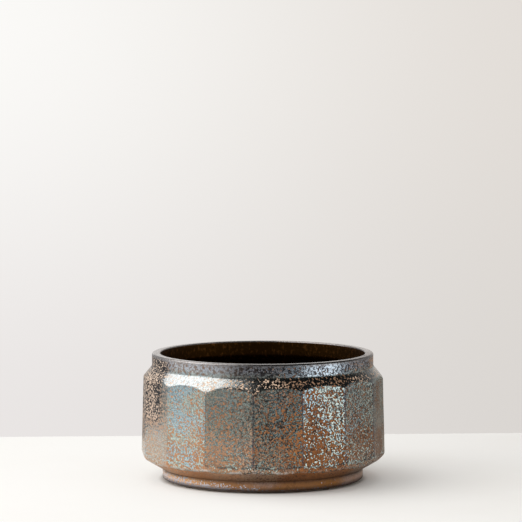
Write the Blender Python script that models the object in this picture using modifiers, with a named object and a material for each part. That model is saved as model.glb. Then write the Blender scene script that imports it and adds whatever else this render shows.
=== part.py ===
"""Faceted stoneware planter: one fired body, a rubber drain stopper and felt pads under the foot.

Metres, +Z up. The origin is on the table, under the middle of the pot.
"""

import math

import bmesh
import bpy
from mathutils import Vector

OBJECT_NAME = "faceted_planter"

# Outside of the body, as it is turned before the flats are cut
HEIGHT = 0.1555  # table to rim
COLLAR_RADIUS = 0.1356
COLLAR_HEIGHT = 0.016
SHOULDER_DROP = 0.0145  # foot of the collar down to the top of the wall
BODY_RADIUS = 0.150  # wall where it meets the underside
WALL_LEAN = 0.0025  # how far the wall leans in on its way up to the shoulder
LOWER_EDGE_HEIGHT = 0.030  # table to the corner of wall and underside
FOOT_RADIUS = 0.123
FOOT_HEIGHT = 0.0142  # table to the crease under the body

# Flats cut all round the turned wall
FACET_COUNT = 16
FACET_DEPTH = 0.0026  # at the middle of a flat

# Thickness of the clay
RIM_WALL = 0.0102
SHOULDER_WALL = 0.0095
BODY_WALL = 0.0095  # behind the middle of a flat
UNDERSIDE_WALL = 0.0100
FLOOR_WALL = 0.0100  # under the dish

# Underneath
FOOT_RING_WIDTH = 0.014
RECESS_DEPTH = 0.007
RECESS_DRAFT = 0.002  # how far the recess narrows on its way up
DRAIN_RADIUS = 0.010
DISH_DEPTH = 0.0012  # the floor dips round the drain, where the stopper's flange sits
DISH_MARGIN = 0.003  # dish beyond the flange

# Edge and corner radii of the body
RIM_EDGE = 0.0034
COLLAR_CREASE = 0.0030
SHOULDER_ROUND = 0.0080
LOWER_ROUND = 0.0070
FOOT_CREASE = 0.0020
FOOT_EDGE = 0.0025
RECESS_ROUND = 0.0030
DRAIN_EDGE = 0.0010
INNER_ROUND = 0.0120
NECK_ROUND = 0.0060

# Drain stopper, seated from inside
FLANGE_OVERLAP = 0.007  # flange beyond the drain
FLANGE_THICKNESS = 0.0026
FLANGE_EDGE = 0.0009
NECK_RADIUS = 0.0045
NECK_HEIGHT = 0.0040
KNOB_OVERHANG = 0.0030
KNOB_HEIGHT = 0.0045
KNOB_EDGE = 0.0018
RIB_COUNT = 3
RIB_DEPTH = 0.0008
TIP_LENGTH = 0.0020  # tapered tip below the underside of the floor
TIP_TAPER = 0.0020  # how far the tip narrows

# Felt pads
PAD_COUNT = 4
PAD_MARGIN = 0.0025  # foot ring left bare on each side of a pad
PAD_THICKNESS = 0.0012
PAD_EDGE = 0.0002
PAD_SIDES = 20

# Fits
SEAT_GAP = 0.0003  # between a piece and what it sits on
SHANK_CLEARANCE = 0.0003  # between the stopper's ribs and the drain

# Finishes: colour, roughness and metallic
BRONZE_GLAZE = ((0.27, 0.20, 0.15), 0.32, 0.55)
BLACK_RUBBER = ((0.03, 0.03, 0.03), 0.85, 0.0)
BROWN_FELT = ((0.16, 0.13, 0.10), 0.95, 0.0)

# Smoothness
STEPS_PER_FACET = 4
STOPPER_STEPS = 24
ARC_STEPS = 3
ARC_SHARE = 0.48  # the most of an edge that the arc at one of its ends may take
MERGE_DISTANCE = 0.00001
CUTTER_MARGIN = 0.020

# Levels and radii that several pieces share
STAND = PAD_THICKNESS + SEAT_GAP  # table to the bottom of the foot ring
RECESS_LEVEL = STAND + RECESS_DEPTH
SEAT_LEVEL = RECESS_LEVEL + FLOOR_WALL  # floor of the dish, where the stopper seats
FLOOR_LEVEL = SEAT_LEVEL + DISH_DEPTH
SHOULDER_LEVEL = HEIGHT - COLLAR_HEIGHT - SHOULDER_DROP
FLANGE_RADIUS = DRAIN_RADIUS + FLANGE_OVERLAP


def clear_scene():
    for obj in list(bpy.data.objects):
        bpy.data.objects.remove(obj, do_unlink=True)


def new_collection(name):
    collection = bpy.data.collections.new(name)
    bpy.context.scene.collection.children.link(collection)
    return collection


def new_material(name, finish):
    colour, roughness, metallic = finish
    material = bpy.data.materials.new(name)
    material.use_nodes = True
    shader = material.node_tree.nodes["Principled BSDF"]
    shader.inputs["Base Color"].default_value = (*colour, 1.0)
    shader.inputs["Roughness"].default_value = roughness
    shader.inputs["Metallic"].default_value = metallic
    return material


def line_through(start, end, inset=0.0):
    """Line as a point and a direction, moved into the clay by inset where it runs down the outside."""
    direction = (Vector(end) - Vector(start)).normalized()
    inward = Vector((direction.y, -direction.x))
    return Vector(start) + inward * inset, direction


def meet(line_a, line_b):
    """Point where two lines cross."""
    (point_a, along_a), (point_b, along_b) = line_a, line_b
    return point_a + along_a * ((point_b - point_a).cross(along_b) / along_a.cross(along_b))


def rounded_corner(before, corner, after, radius):
    """Arc that rounds one corner, kept within the edges on both sides of it."""
    to_before = before - corner
    to_after = after - corner
    half_angle = to_before.angle(to_after) / 2
    room = ARC_SHARE * min(to_before.length, to_after.length)
    reach = min(radius / math.tan(half_angle), room)
    start = corner + to_before.normalized() * reach
    end = corner + to_after.normalized() * reach
    middle = (to_before.normalized() + to_after.normalized()).normalized()
    centre = corner + middle * (reach / math.cos(half_angle))
    turn_from, turn_to = start - centre, end - centre
    spokes = [turn_from.slerp(turn_to, step / ARC_STEPS) for step in range(ARC_STEPS + 1)]
    return [centre + spoke.normalized() * turn_from.length for spoke in spokes]


def rounded_outline(corners):
    """Outline through (point, edge radius) corners, with an arc at each corner that has a radius."""
    places = [Vector(point) for point, _ in corners]
    outline = []
    for index, (_, radius) in enumerate(corners):
        here = places[index]
        if radius:
            after = places[(index + 1) % len(places)]
            outline += rounded_corner(places[index - 1], here, after, radius)
        else:
            outline.append(here)
    return outline


def turned_object(name, outline, closed, steps, collection):
    """Object with an outline of (radius, height) points that a Screw modifier turns about Z."""
    count = len(outline)
    edges = [(i, (i + 1) % count) for i in range(count if closed else count - 1)]
    mesh = bpy.data.meshes.new(name)
    mesh.from_pydata([(point.x, 0.0, point.y) for point in outline], edges, [])
    obj = bpy.data.objects.new(name, mesh)
    collection.objects.link(obj)
    turn = obj.modifiers.new("Turn", "SCREW")
    turn.axis = "Z"
    turn.angle = math.tau
    turn.steps = turn.render_steps = steps
    turn.use_merge_vertices = True
    turn.merge_threshold = MERGE_DISTANCE
    turn.use_smooth_shade = True
    return obj


def prism_mesh(name, sides, low_radius, high_radius, height):
    """Closed prism or frustum about Z, centred on the origin; the radii are those of its corners."""
    mesh = bpy.data.meshes.new(name)
    shape = bmesh.new()
    bmesh.ops.create_cone(
        shape, cap_ends=True, segments=sides, radius1=low_radius, radius2=high_radius, depth=height
    )
    shape.to_mesh(mesh)
    shape.free()
    return mesh


def body_outline():
    """Closed section of the body: down the outside, under the foot, up the drain and the inside."""
    collar_top = Vector((COLLAR_RADIUS, HEIGHT))
    collar_foot = Vector((COLLAR_RADIUS, HEIGHT - COLLAR_HEIGHT))
    shoulder_edge = Vector((BODY_RADIUS - WALL_LEAN, SHOULDER_LEVEL))
    lower_edge = Vector((BODY_RADIUS, LOWER_EDGE_HEIGHT))
    crease = Vector((FOOT_RADIUS, FOOT_HEIGHT))
    ring_inside = FOOT_RADIUS - FOOT_RING_WIDTH
    dish_radius = FLANGE_RADIUS + DISH_MARGIN

    inner_collar = line_through(collar_top, collar_foot, RIM_WALL)
    inner_shoulder = line_through(collar_foot, shoulder_edge, SHOULDER_WALL)
    inner_wall = line_through(shoulder_edge, lower_edge, BODY_WALL + FACET_DEPTH)
    inner_underside = line_through(lower_edge, crease, UNDERSIDE_WALL)
    inner_floor = line_through((0.0, FLOOR_LEVEL), (BODY_RADIUS, FLOOR_LEVEL))

    return rounded_outline([
        (collar_top, RIM_EDGE),
        (collar_foot, COLLAR_CREASE),
        (shoulder_edge, SHOULDER_ROUND),
        (lower_edge, LOWER_ROUND),
        (crease, FOOT_CREASE),
        ((FOOT_RADIUS, STAND), FOOT_EDGE),
        ((ring_inside, STAND), FOOT_EDGE),
        ((ring_inside - RECESS_DRAFT, RECESS_LEVEL), RECESS_ROUND),
        ((DRAIN_RADIUS, RECESS_LEVEL), DRAIN_EDGE),
        ((DRAIN_RADIUS, SEAT_LEVEL), DRAIN_EDGE),
        ((dish_radius, SEAT_LEVEL), 0.0),
        ((dish_radius + DISH_DEPTH, FLOOR_LEVEL), 0.0),
        (meet(inner_underside, inner_floor), INNER_ROUND),
        (meet(inner_wall, inner_underside), INNER_ROUND),
        (meet(inner_shoulder, inner_wall), INNER_ROUND),
        (meet(inner_collar, inner_shoulder), NECK_ROUND),
        ((COLLAR_RADIUS - RIM_WALL, HEIGHT), RIM_EDGE),
    ])


def facet_prism(collection):
    """Tapered prism whose flats lie FACET_DEPTH inside the turned wall, past both ends of the body."""
    lean_per_height = WALL_LEAN / (SHOULDER_LEVEL - LOWER_EDGE_HEIGHT)
    low, high = -CUTTER_MARGIN, HEIGHT + CUTTER_MARGIN

    def corner_radius(level):
        flat_radius = BODY_RADIUS - lean_per_height * (level - LOWER_EDGE_HEIGHT) - FACET_DEPTH
        return flat_radius / math.cos(math.pi / FACET_COUNT)

    mesh = prism_mesh("facet_prism", FACET_COUNT, corner_radius(low), corner_radius(high), high - low)
    prism = bpy.data.objects.new("facet_prism", mesh)
    prism.location.z = (low + high) / 2
    prism.hide_render = True
    prism.display_type = "WIRE"
    collection.objects.link(prism)
    return prism


def make_body(parts, cutters):
    """Turned stoneware body with its flats."""
    body = turned_object("planter_body", body_outline(), True, STEPS_PER_FACET * FACET_COUNT, parts)
    cut = body.modifiers.new("Flats", "BOOLEAN")
    cut.operation = "INTERSECT"
    cut.solver = "EXACT"
    cut.object = facet_prism(cutters)
    body.data.materials.append(new_material("bronze_glaze", BRONZE_GLAZE))
    return body


def stopper_outline():
    """Section of the stopper from its top to its tip, with heights measured from its seat."""
    flange_top = SEAT_GAP + FLANGE_THICKNESS
    knob_base = flange_top + NECK_HEIGHT
    knob_top = knob_base + KNOB_HEIGHT
    knob_radius = NECK_RADIUS + KNOB_OVERHANG
    shank = DRAIN_RADIUS - SHANK_CLEARANCE
    rib_pitch = FLOOR_WALL / RIB_COUNT

    corners = [
        ((0.0, knob_top), 0.0),
        ((knob_radius, knob_top), KNOB_EDGE),
        ((knob_radius, knob_base), KNOB_EDGE),
        ((NECK_RADIUS, knob_base), 0.0),
        ((NECK_RADIUS, flange_top), 0.0),
        ((FLANGE_RADIUS, flange_top), FLANGE_EDGE),
        ((FLANGE_RADIUS, SEAT_GAP), FLANGE_EDGE),
        ((shank - RIB_DEPTH, SEAT_GAP), 0.0),
    ]
    for rib in range(RIB_COUNT):
        corners.append(((shank, -rib_pitch * (rib + 0.5)), 0.0))
        corners.append(((shank - RIB_DEPTH, -rib_pitch * (rib + 1)), 0.0))
    tip = -FLOOR_WALL - TIP_LENGTH
    corners.append(((shank - RIB_DEPTH - TIP_TAPER, tip), 0.0))
    corners.append(((0.0, tip), 0.0))
    return rounded_outline(corners)


def make_stopper(parts):
    """Ribbed rubber stopper with a flange on the floor and a knob to lift it by."""
    stopper = turned_object("drain_stopper", stopper_outline(), False, STOPPER_STEPS, parts)
    stopper.location.z = SEAT_LEVEL
    stopper.data.materials.append(new_material("black_rubber", BLACK_RUBBER))
    return stopper


def make_pads(parts):
    """Felt pads under the middle of the foot ring."""
    pad_radius = FOOT_RING_WIDTH / 2 - PAD_MARGIN
    mesh = prism_mesh("base_pad", PAD_SIDES, pad_radius, pad_radius, PAD_THICKNESS)
    mesh.materials.append(new_material("brown_felt", BROWN_FELT))

    pads = []
    ring_middle = FOOT_RADIUS - FOOT_RING_WIDTH / 2
    for index in range(PAD_COUNT):
        turn = math.tau * (index + 0.5) / PAD_COUNT
        pad = bpy.data.objects.new(f"base_pad_{index + 1}", mesh)
        pad.location = (ring_middle * math.cos(turn), ring_middle * math.sin(turn), PAD_THICKNESS / 2)
        parts.objects.link(pad)
        bevel = pad.modifiers.new("Edge", "BEVEL")
        bevel.width = PAD_EDGE
        bevel.segments = 1
        bevel.limit_method = "ANGLE"
        pads.append(pad)
    return pads


def main():
    clear_scene()
    parts = new_collection(OBJECT_NAME)
    cutters = new_collection("cutters")
    base = bpy.data.objects.new(OBJECT_NAME, None)
    parts.objects.link(base)
    for piece in [make_body(parts, cutters), make_stopper(parts), *make_pads(parts)]:
        piece.parent = base


main()
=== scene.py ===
"""Looks of the faceted planter: glazed body, rubber stopper, felt pads, and a plain studio."""

import math
from types import SimpleNamespace

import bpy
import numpy as np
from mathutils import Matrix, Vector, noise


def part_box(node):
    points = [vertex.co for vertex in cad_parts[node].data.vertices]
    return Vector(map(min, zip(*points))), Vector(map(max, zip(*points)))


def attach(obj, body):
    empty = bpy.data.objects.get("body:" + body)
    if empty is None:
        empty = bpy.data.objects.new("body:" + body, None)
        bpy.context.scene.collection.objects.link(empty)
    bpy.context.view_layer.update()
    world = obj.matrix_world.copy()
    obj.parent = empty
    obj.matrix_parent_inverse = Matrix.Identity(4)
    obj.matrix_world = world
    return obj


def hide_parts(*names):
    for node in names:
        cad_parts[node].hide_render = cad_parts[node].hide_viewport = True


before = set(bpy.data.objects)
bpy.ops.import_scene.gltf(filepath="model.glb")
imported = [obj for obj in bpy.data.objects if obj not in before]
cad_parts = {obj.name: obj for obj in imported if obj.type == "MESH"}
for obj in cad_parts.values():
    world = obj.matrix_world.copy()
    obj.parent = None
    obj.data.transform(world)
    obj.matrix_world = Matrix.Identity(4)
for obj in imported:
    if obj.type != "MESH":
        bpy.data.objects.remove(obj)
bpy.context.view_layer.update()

# Section of the body, in metres
BODY_RADIUS = 0.150
WALL_LEAN = 0.0025
LOWER_EDGE_HEIGHT = 0.030
COLLAR_RADIUS = 0.1356
COLLAR_HEIGHT = 0.016
SHOULDER_DROP = 0.0145
FOOT_RADIUS = 0.123
FOOT_HEIGHT = 0.0142
RIM_WALL = 0.0102
SHOULDER_WALL = 0.0095
BODY_WALL = 0.0121
UNDERSIDE_WALL = 0.0100
FOOT_RING_WIDTH = 0.014
RECESS_DRAFT = 0.002
RECESS_LEVEL = 0.0085
SEAT_LEVEL = 0.0185
FLOOR_LEVEL = 0.0197
DRAIN_RADIUS = 0.010
DISH_RADIUS = 0.020
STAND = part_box("planter_body")[0].z
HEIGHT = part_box("planter_body")[1].z
COLLAR_FOOT = HEIGHT - COLLAR_HEIGHT
SHOULDER_LEVEL = COLLAR_FOOT - SHOULDER_DROP

# Drain stopper, with heights from its seat
FLANGE_RADIUS = 0.017
FLANGE_BASE = 0.0003
FLANGE_TOP = 0.0029
FLANGE_EDGE = 0.0009
NECK_RADIUS = 0.0045
NECK_FILLET = 0.0008
KNOB_RADIUS = 0.0075
KNOB_BASE = 0.0069
KNOB_TOP = 0.0114
KNOB_EDGE = 0.0018
KNOB_SLACK = 0.0001
KNOB_DIMPLE = 0.0005
KNOB_DIMPLE_RADIUS = 0.0038
GRIP_COUNT = 24
GRIP_DEPTH = 0.00025
SHANK_RADIUS = 0.0097
RIB_COUNT = 3
RIB_DEPTH = 0.0008
RIB_EDGE = 0.0003
TIP_LENGTH = 0.0020
TIP_TAPER = 0.0020
STOPPER_COLUMNS = 192
STOPPER_STEP = 0.0006

# Felt pads
PAD_COUNT = 4
PAD_EDGE = 0.0003
PAD_FUZZ = 0.00012
FUZZ_SCALE = 2600.0
FUZZ_SHIFT = 900.0
PAD_COLUMNS = 72
PAD_STEP = 0.00025

# Roundings of the section
RIM_EDGE = 0.0042
RIM_INNER_EDGE = 0.0015
COLLAR_CREASE = 0.0055
SHOULDER_ROUND = 0.0080
LOWER_ROUND = 0.0070
FOOT_CREASE = 0.0020
FOOT_EDGE = 0.0025
RECESS_ROUND = 0.0030
DRAIN_EDGE = 0.0010
DISH_EDGE = 0.0006
INNER_ROUND = 0.0120
NECK_ROUND = 0.0060

# Flats, cut by hand
FACET_COUNT = 16
CORNER_PROUD = 0.0001
CUT_DRIFT = math.radians(1.1)
EDGE_SOFTNESS = 0.0004
CORNER_REACH = 0.00036
CORNER_SLOPE = 0.40
HOLLOW = 0.0005
ROUND_TOP = 0.0342
ROUND_BOTTOM_RADIUS = 0.1464
SLIDE_TOP = 0.060
SAG = 0.0036
SAG_ANGLE = math.radians(-16.0)
SAG_WIDTH = math.radians(30.0)
SAG_REACH = 0.045
FLAT_SOFTEN = 1.2  # how far past its border, in EDGE_SOFTNESS, a flat still counts as flat
NEAR_COSINE = 0.5  # a flat that is turned further away doesn't cut
FAR_RADIUS = 1.0  # and counts as lying this far out
WAVINESS = 0.00022
WAVE_SCALE = 26.0
WAVE_FOOT_FADE = 0.02
WAVE_RIM_FADE = 0.004

# Zones of the glaze: angles round the pot are from -Y towards +X
FLAME_ANGLE = math.radians(34.0)
METAL_ANGLE = math.radians(54.0)
RIGHT_END_ANGLE = math.radians(82.0)
FLAT_STEP = 0.75  # share of the change round the pot that goes from flat to flat
CUSP_WIDTH = 0.0034
CUSP_HEIGHT = 0.0080
CREASE_SHADE_REACH = 0.0030
FOOT_FADE = 0.002
SHADE_TOP = LOWER_EDGE_HEIGHT - 0.003
RIM_ZONE = 0.0040
RIM_FULL = 0.0016
LINING_START = 0.0004
LINING_FULL = 0.0014
DARK_REFLECTION_SIDE = 0.57  # the painted dark reflection lies where the nearness of the fire side is less
DARK_REFLECTION_FADE = 0.08
DARK_REFLECTION_BOTTOM = 0.062
DARK_REFLECTION_TOP = 0.092
FOOT_BAND_TOP = 0.0060
FOOT_BAND_FULL = 0.0018
DASH_ANGLE = math.radians(-2.0)
DASH_WIDTH = math.radians(22.0)
DASH_RISE = 0.0010
DASH_SPREAD = 0.0013
LEDGE_DROP = 0.0008
LEDGE_SPREAD = 0.0014
LEDGE_END = math.radians(22.0)
LEDGE_FULL = math.radians(16.0)
BARE_TOP = 0.0008
BARE_FULL = 0.0002

# Metal colours of the glaze, some with painted reflections
BLUE_STEEL = (0.53, 0.69, 0.74, 1.0)
GREEN_STEEL = (0.61, 0.70, 0.64, 1.0)
WARM_STEEL = (0.68, 0.62, 0.56, 1.0)
SAGE_STEEL = (0.64, 0.69, 0.59, 1.0)
LILAC_STEEL = (0.60, 0.59, 0.71, 1.0)
COLLAR_STEEL = (0.70, 0.68, 0.80, 1.0)
# painted reflection in the collar's bright patch on the right
COLLAR_REFLECTION_STEEL = (0.74, 0.88, 1.0, 1.0)
FOOT_STEEL = (0.68, 0.63, 0.70, 1.0)
SLOPE_SILVER = (0.74, 0.74, 0.73, 1.0)
# painted dark reflection on the shoulder's centre and right
SLOPE_DARK_REFLECTION = (0.080, 0.078, 0.080, 1.0)
# painted dark reflection on the upper far left
DARK_REFLECTION_BLACK = (0.060, 0.058, 0.066, 1.0)
FLECK_BLUE = (0.060, 0.080, 0.10, 1.0)
SPOT_BROWN = (0.31, 0.20, 0.14, 1.0)
SPOT_BLACK = (0.045, 0.040, 0.052, 1.0)

# Ground colours of the glaze, some with painted light and shade
DEEP_BROWN = (0.36, 0.124, 0.030, 1.0)
LIGHT_BROWN = (0.51, 0.200, 0.058, 1.0)
GRAIN_BROWN = (0.19, 0.068, 0.024, 1.0)
# painted light: peach where the ground faces the lamps
LIT_PEACH_BROWN = (0.68, 0.385, 0.22, 1.0)
# painted sheen on the far left
SHEEN_GREY_BROWN = (0.46, 0.35, 0.27, 1.0)
# painted shade on the right end
RIGHT_SHADE_BROWN = (0.20, 0.095, 0.042, 1.0)
COLLAR_BROWN = (0.17, 0.088, 0.055, 1.0)
COLLAR_PEACH = (0.60, 0.34, 0.19, 1.0)
# painted light on the shoulder's ground, less of it towards the right
SLOPE_LIT_PEACH = (1.0, 0.74, 0.54, 1.0)
SLOPE_RUST = (0.46, 0.28, 0.17, 1.0)
# painted light: pale ground on the upper far left
LEFT_LIT_PEACH = (0.58, 0.46, 0.37, 1.0)
# painted light on the left of the foot
FOOT_LIT_BRONZE = (1.0, 0.60, 0.30, 1.0)
FOOT_BROWN = (0.50, 0.22, 0.048, 1.0)
# paler ground along the lower edge: partly thin glaze, partly painted highlight
LIP_PEACH = (0.66, 0.40, 0.23, 1.0)

# Edges, painted highlight and shade, dark dashes and bare places
# painted highlight along the lower edge of the flats
LIP_HIGHLIGHT_WHITE = (0.95, 0.94, 0.92, 1.0)
OUTLINE_BLACK = (0.026, 0.020, 0.018, 1.0)
# painted shade and dark reflection along the corners between flats
CORNER_SHADE_BLUE = (0.055, 0.060, 0.090, 1.0)
DASH_BLACK = (0.030, 0.034, 0.042, 1.0)
CREASE_SHADE_BROWN = (0.040, 0.022, 0.014, 1.0)
SHADE_BROWN = (0.085, 0.036, 0.008, 1.0)
# painted light on the rim's left
RIM_LIT_PALE = (0.60, 0.56, 0.54, 1.0)
RIM_GREY = (0.23, 0.21, 0.20, 1.0)
FOOT_BAND_BLACK = (0.024, 0.017, 0.017, 1.0)
# dark lining: partly the inner glaze's own colour, partly painted shade
LINING_BROWN = (0.060, 0.025, 0.004, 1.0)
LINING_STREAK = (0.17, 0.070, 0.018, 1.0)
CLAY_PALE = (0.46, 0.36, 0.27, 1.0)
CLAY_DARK = (0.30, 0.22, 0.15, 1.0)

# Rubber and felt
RUBBER_BLACK = (0.012, 0.011, 0.011, 1.0)
RUBBER_GREY = (0.030, 0.028, 0.026, 1.0)
RUBBER_DUST = (0.13, 0.105, 0.08, 1.0)
FELT_DARK = (0.055, 0.036, 0.024, 1.0)
FELT_PALE = (0.19, 0.135, 0.095, 1.0)

# Floor, from the pot's axis, and its colours
FLOOR_BACK = 0.373
FLOOR_FRONT = 1.6
FLOOR_SIDE = 2.0
FLOOR_TURN = math.radians(7.5)
FLOOR_PALE = (0.92, 0.900, 0.865, 1.0)
FLOOR_WARM = (0.90, 0.875, 0.835, 1.0)
# painted light: the floor's glow for the camera
FLOOR_LIT = (0.96, 0.945, 0.915, 1.0)
FLOOR_LIT_START = 0.121
FLOOR_LIT_FULL = 0.130
FLOOR_LIT_SIDE = 0.12
FLOOR_MIRRORED = 0.28
FLOOR_UNSEEN = 0.44
MIRRORED_SHIFT = (0.20, 0.0, 0.0)
MIRRORED_STRETCH = (0.5, 1.0, 1.0)

# Heights and half width of the backdrop and the studio, as parts of a unit vector
BACKDROP_SIDE = 0.12
BACKDROP_TOP = 0.009
BACKDROP_BASE = -0.1436
BACKDROP_FOOT_TOP = -0.144
BACKDROP_FOOT_BASE = -0.214
STUDIO_BASE = -0.155

# Colours of the backdrop
BACKDROP_LOW_LEFT = (0.82, 0.79, 0.78, 1.0)
BACKDROP_LOW_RIGHT = (0.70, 0.67, 0.64, 1.0)
BACKDROP_HIGH_LEFT = (0.97, 0.96, 0.94, 1.0)
BACKDROP_HIGH_RIGHT = (0.76, 0.72, 0.68, 1.0)
BACKDROP_FOOT = (0.93, 0.91, 0.88, 1.0)

# Where the lamps point, and the azimuth of the studio's bright side
LAMP_TARGET = (0.0, 0.0, 0.08)
STUDIO_LEFT = math.radians(-85.0)

# Mesh fineness
COLUMNS_PER_FACET = 20
OUTER_STEP = 0.0026
EDGE_STEP = 0.0008
INNER_STEP = 0.0060
EDGE_BELOW = 0.005
EDGE_ABOVE = 0.009
STEP_SLACK = 1.01
ARC_STEPS = 8
ARC_SHARE = 0.48

# Camera
IMAGE_SIDE = 522
FOCAL_PIXELS = 2789.5
SENSOR_WIDTH = 36.0
CAMERA_DISTANCE = 3.4000
CAMERA_HEIGHT = 0.5357
CAMERA_AZIMUTH = math.radians(4.34)
CAMERA_PITCH = math.radians(4.512)
AXIS_PIXEL = 262.66

# Shift of the share of metal by height on the outside, from the foot up
GLAZE_LEVELS = [
    (STAND, 0.08),
    (STAND + 0.0030, 0.05),
    (STAND + 0.0055, 0.01),
    (FOOT_HEIGHT - 0.0020, -0.07),
    (FOOT_HEIGHT, -0.15),
    (LOWER_EDGE_HEIGHT - 0.0034, -0.15),
    (LOWER_EDGE_HEIGHT - 0.0022, 0.01),
    (LOWER_EDGE_HEIGHT - 0.0010, 0.01),
    (LOWER_EDGE_HEIGHT + 0.0004, -0.06),
    (LOWER_EDGE_HEIGHT + 0.0030, -0.04),
    (LOWER_EDGE_HEIGHT + 0.0050, 0.03),
    (LOWER_EDGE_HEIGHT + 0.0090, -0.02),
    (0.065, 0.00),
    (0.095, 0.055),
    (SHOULDER_LEVEL - 0.0040, 0.055),
    (SHOULDER_LEVEL, 0.06),
    (COLLAR_FOOT - 0.0040, 0.06),
    (COLLAR_FOOT, 0.14),
    (HEIGHT, 0.15),
]


class Nodes:
    """Short calls that add nodes to one tree."""

    def __init__(self, tree):
        self.tree = tree

    def add(self, kind, inputs, **settings):
        node = self.tree.nodes.new("ShaderNode" + kind)
        for name, value in settings.items():
            setattr(node, name, value)
        for key, value in inputs.items():
            if isinstance(value, bpy.types.NodeSocket):
                self.tree.links.new(value, node.inputs[key])
            else:
                node.inputs[key].default_value = value
        return node

    def math(self, operation, a, b=0.0, c=0.0):
        return self.add("Math", {0: a, 1: b, 2: c}, operation=operation).outputs[0]

    def noise(self, place, scale, detail=2.0, roughness=0.5):
        inputs = {"Vector": place, "Scale": scale, "Detail": detail, "Roughness": roughness}
        return self.add("TexNoise", inputs).outputs["Fac"]

    def fade(self, value, low, high, start=0.0, end=1.0):
        """Smooth step from start to end while the value goes from low to high."""
        inputs = {"Value": value, "From Min": low, "From Max": high, "To Min": start, "To Max": end}
        return self.add("MapRange", inputs, interpolation_type="SMOOTHSTEP").outputs["Result"]

    def blend(self, share, first, second):
        """Mix of two colours."""
        return self.add("Mix", {0: share, 6: first, 7: second}, data_type="RGBA").outputs[2]

    def attribute(self, name):
        return self.add("Attribute", {}, attribute_name=name).outputs["Fac"]

    def times(self, first, *others):
        product = first
        for other in others:
            product = self.math("MULTIPLY", product, other)
        return product

    def plus(self, a, b):
        return self.math("ADD", a, b)

    def larger(self, a, b):
        return self.math("MAXIMUM", a, b)

    def rest(self, share):
        return self.math("SUBTRACT", 1.0, share)

    def between(self, share, first, second):
        """Mix of two numbers."""
        return self.add("Mix", {0: share, 2: first, 3: second}).outputs[0]

    def vector(self, operation, a, b):
        return self.add("VectorMath", {0: a, 1: b}, operation=operation).outputs[0]

    def dot(self, a, b):
        return self.add("VectorMath", {0: a, 1: b}, operation="DOT_PRODUCT").outputs["Value"]

    def length(self, a):
        return self.add("VectorMath", {0: a}, operation="LENGTH").outputs["Value"]

    def stretched(self, place, stretch):
        return self.vector("MULTIPLY", place, stretch)

    def warped(self, place, scale, amount):
        """Places moved about by a noise."""
        shift = self.add("TexNoise", {"Vector": place, "Scale": scale, "Detail": 2.0}).outputs["Color"]
        centred = self.vector("SUBTRACT", shift, (0.5, 0.5, 0.5))
        scaled = self.add("VectorMath", {0: centred, "Scale": amount}, operation="SCALE").outputs[0]
        return self.vector("ADD", place, scaled)


def new_material(name):
    """A material with an empty tree, ready for a shader."""
    material = bpy.data.materials.new(name)
    material.use_nodes = True
    material.node_tree.nodes.clear()
    return material, Nodes(material.node_tree)


def surface(nodes, shader):
    nodes.add("OutputMaterial", {"Surface": shader})


def line_through(start, end, inset=0.0):
    along = (Vector(end) - Vector(start)).normalized()
    inward = Vector((along.y, -along.x))
    return Vector(start) + inward * inset, along


def meet(line_a, line_b):
    (point_a, along_a), (point_b, along_b) = line_a, line_b
    return point_a + along_a * ((point_b - point_a).cross(along_b) / along_a.cross(along_b))


def arc_at(before, corner, after, radius):
    """Points of the arc that rounds a corner."""
    to_before, to_after = before - corner, after - corner
    half_angle = to_before.angle(to_after) / 2
    reach = min(radius / math.tan(half_angle), ARC_SHARE * to_before.length, ARC_SHARE * to_after.length)
    start = corner + to_before.normalized() * reach
    end = corner + to_after.normalized() * reach
    middle = (to_before.normalized() + to_after.normalized()).normalized()
    centre = corner + middle * (reach / math.cos(half_angle))
    spokes = [(start - centre).slerp(end - centre, i / ARC_STEPS) for i in range(ARC_STEPS + 1)]
    return [centre + spoke.normalized() * (start - centre).length for spoke in spokes]


def rounded_path(corners):
    """Open path through (point, radius) corners, with arcs at the corners that have a radius."""
    places = [Vector(point) for point, _ in corners]
    path = []
    for i, (_, radius) in enumerate(corners):
        if radius:
            path += arc_at(places[i - 1], places[i], places[i + 1], radius)
        else:
            path.append(places[i])
    return path


def filled_in(path, step, finer_edge=False):
    """The path with points added; a finer edge has more of them where the flats run out below."""
    points = [path[0]]
    while len(path) > 1:
        start, end = path[0], path[1]
        near_edge = -EDGE_BELOW < start.y - LOWER_EDGE_HEIGHT < EDGE_ABOVE
        reach = EDGE_STEP if finer_edge and near_edge else step
        if (end - start).length > STEP_SLACK * reach:
            path = [start + (end - start).normalized() * reach] + path[1:]
        else:
            path = path[1:]
        points.append(path[0])
    return points


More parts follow.
